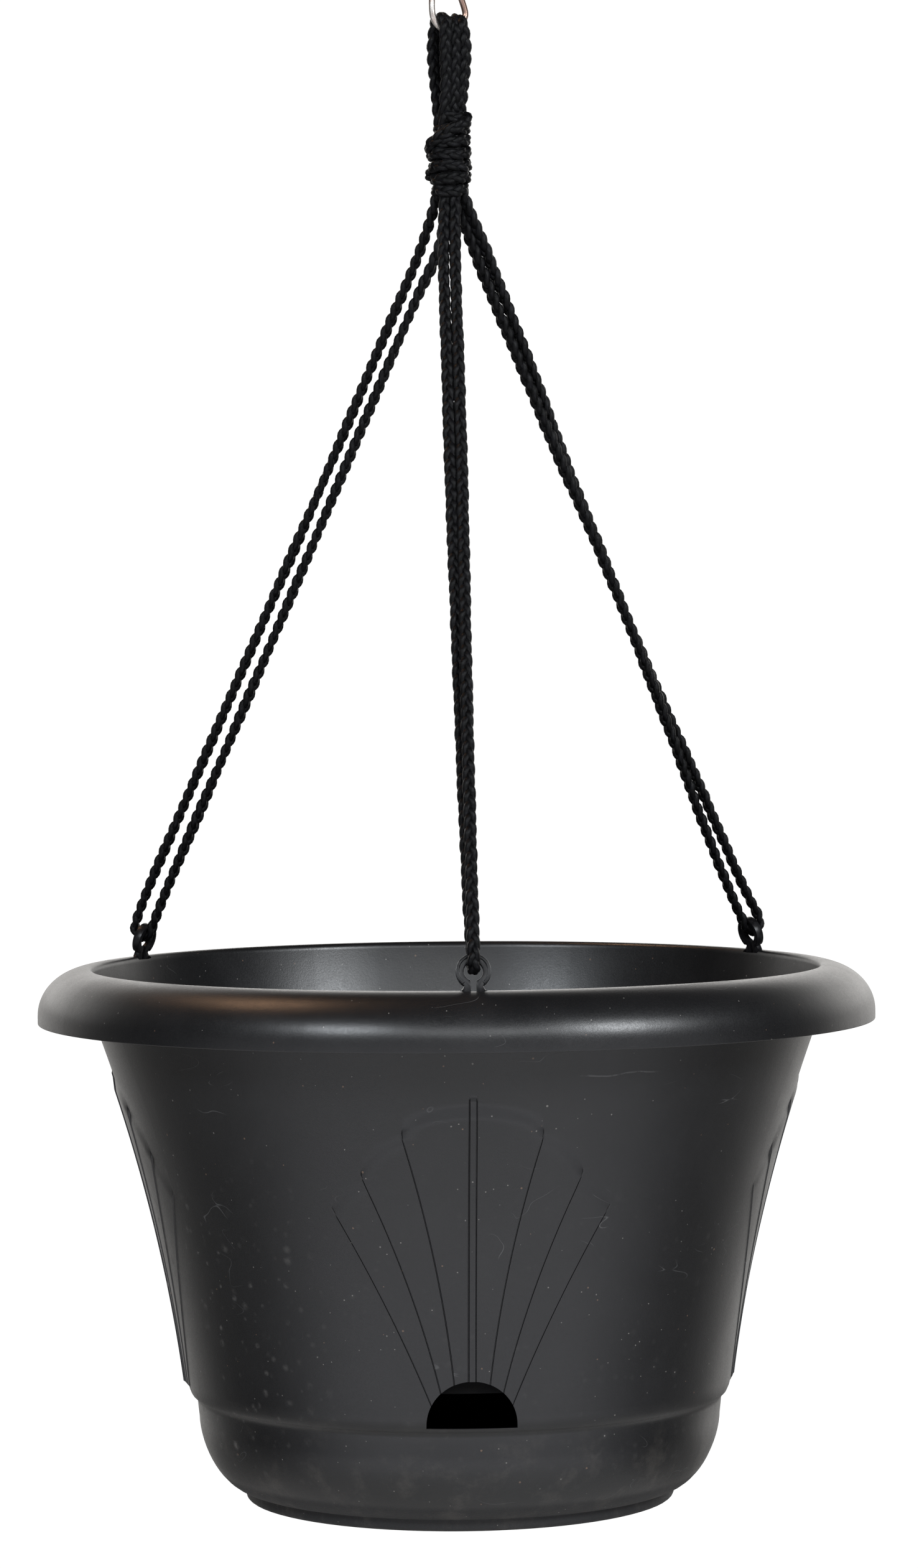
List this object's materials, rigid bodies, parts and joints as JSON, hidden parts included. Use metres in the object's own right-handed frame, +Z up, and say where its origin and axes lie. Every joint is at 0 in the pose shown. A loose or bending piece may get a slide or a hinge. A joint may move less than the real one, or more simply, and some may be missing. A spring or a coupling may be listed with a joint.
{
  "type": "hanging basket",
  "caption": "Self-watering hanging basket: stepped planter with rolled rim and front fill window, hung by doubled braided cords, a whipped knot and a wire hook.",
  "frame": {"origin": "the hanging point, inside the top of the S-hook's upper bend, on the basket's vertical axis", "axes": "+Z up, -Y is the front, the side with the fill window and the front cord"},
  "size_m": [0.3008, 0.3008, 0.5793],
  "materials": {
    "hook_steel": "bright drawn wire",
    "braided_cord": "black braided polypropylene",
    "clip_plastic": "gloss moulded",
    "planter_plastic": "satin moulded charcoal",
    "floor_plastic": "satin moulded charcoal"
  },
  "bodies": {
    "hook": {"s_hook": "hook_steel"},
    "loop": {"loop_cord_left": "braided_cord", "loop_cord_middle": "braided_cord", "loop_cord_right": "braided_cord"},
    "planter": {"whipping_knot": "braided_cord", "leg_cord_front": "braided_cord", "leg_cord_left": "braided_cord", "leg_cord_right": "braided_cord", "eye_clip_front": "clip_plastic", "eye_clip_left": "clip_plastic", "eye_clip_right": "clip_plastic", "planter_shell": "planter_plastic"},
    "floor_insert": {"reservoir_floor": "floor_plastic"}
  },
  "joints": [
    {"name": "hook_swing", "type": "hinge", "parent": "hook", "child": "loop", "pos_m": [0, 0, -0.051], "axis": [0.848, 0.5299, 0], "range_deg": [-25, 25]},
    {"name": "basket_turn", "type": "hinge", "parent": "loop", "child": "planter", "pos_m": [0, 0, -0.0795], "axis": [0, 0, 1], "range_deg": [-90, 90]},
    {"name": "floor_lift", "type": "slide", "parent": "planter", "child": "floor_insert", "axis": [0, 0, 1], "range_m": [0, 0.15]}
  ]
}
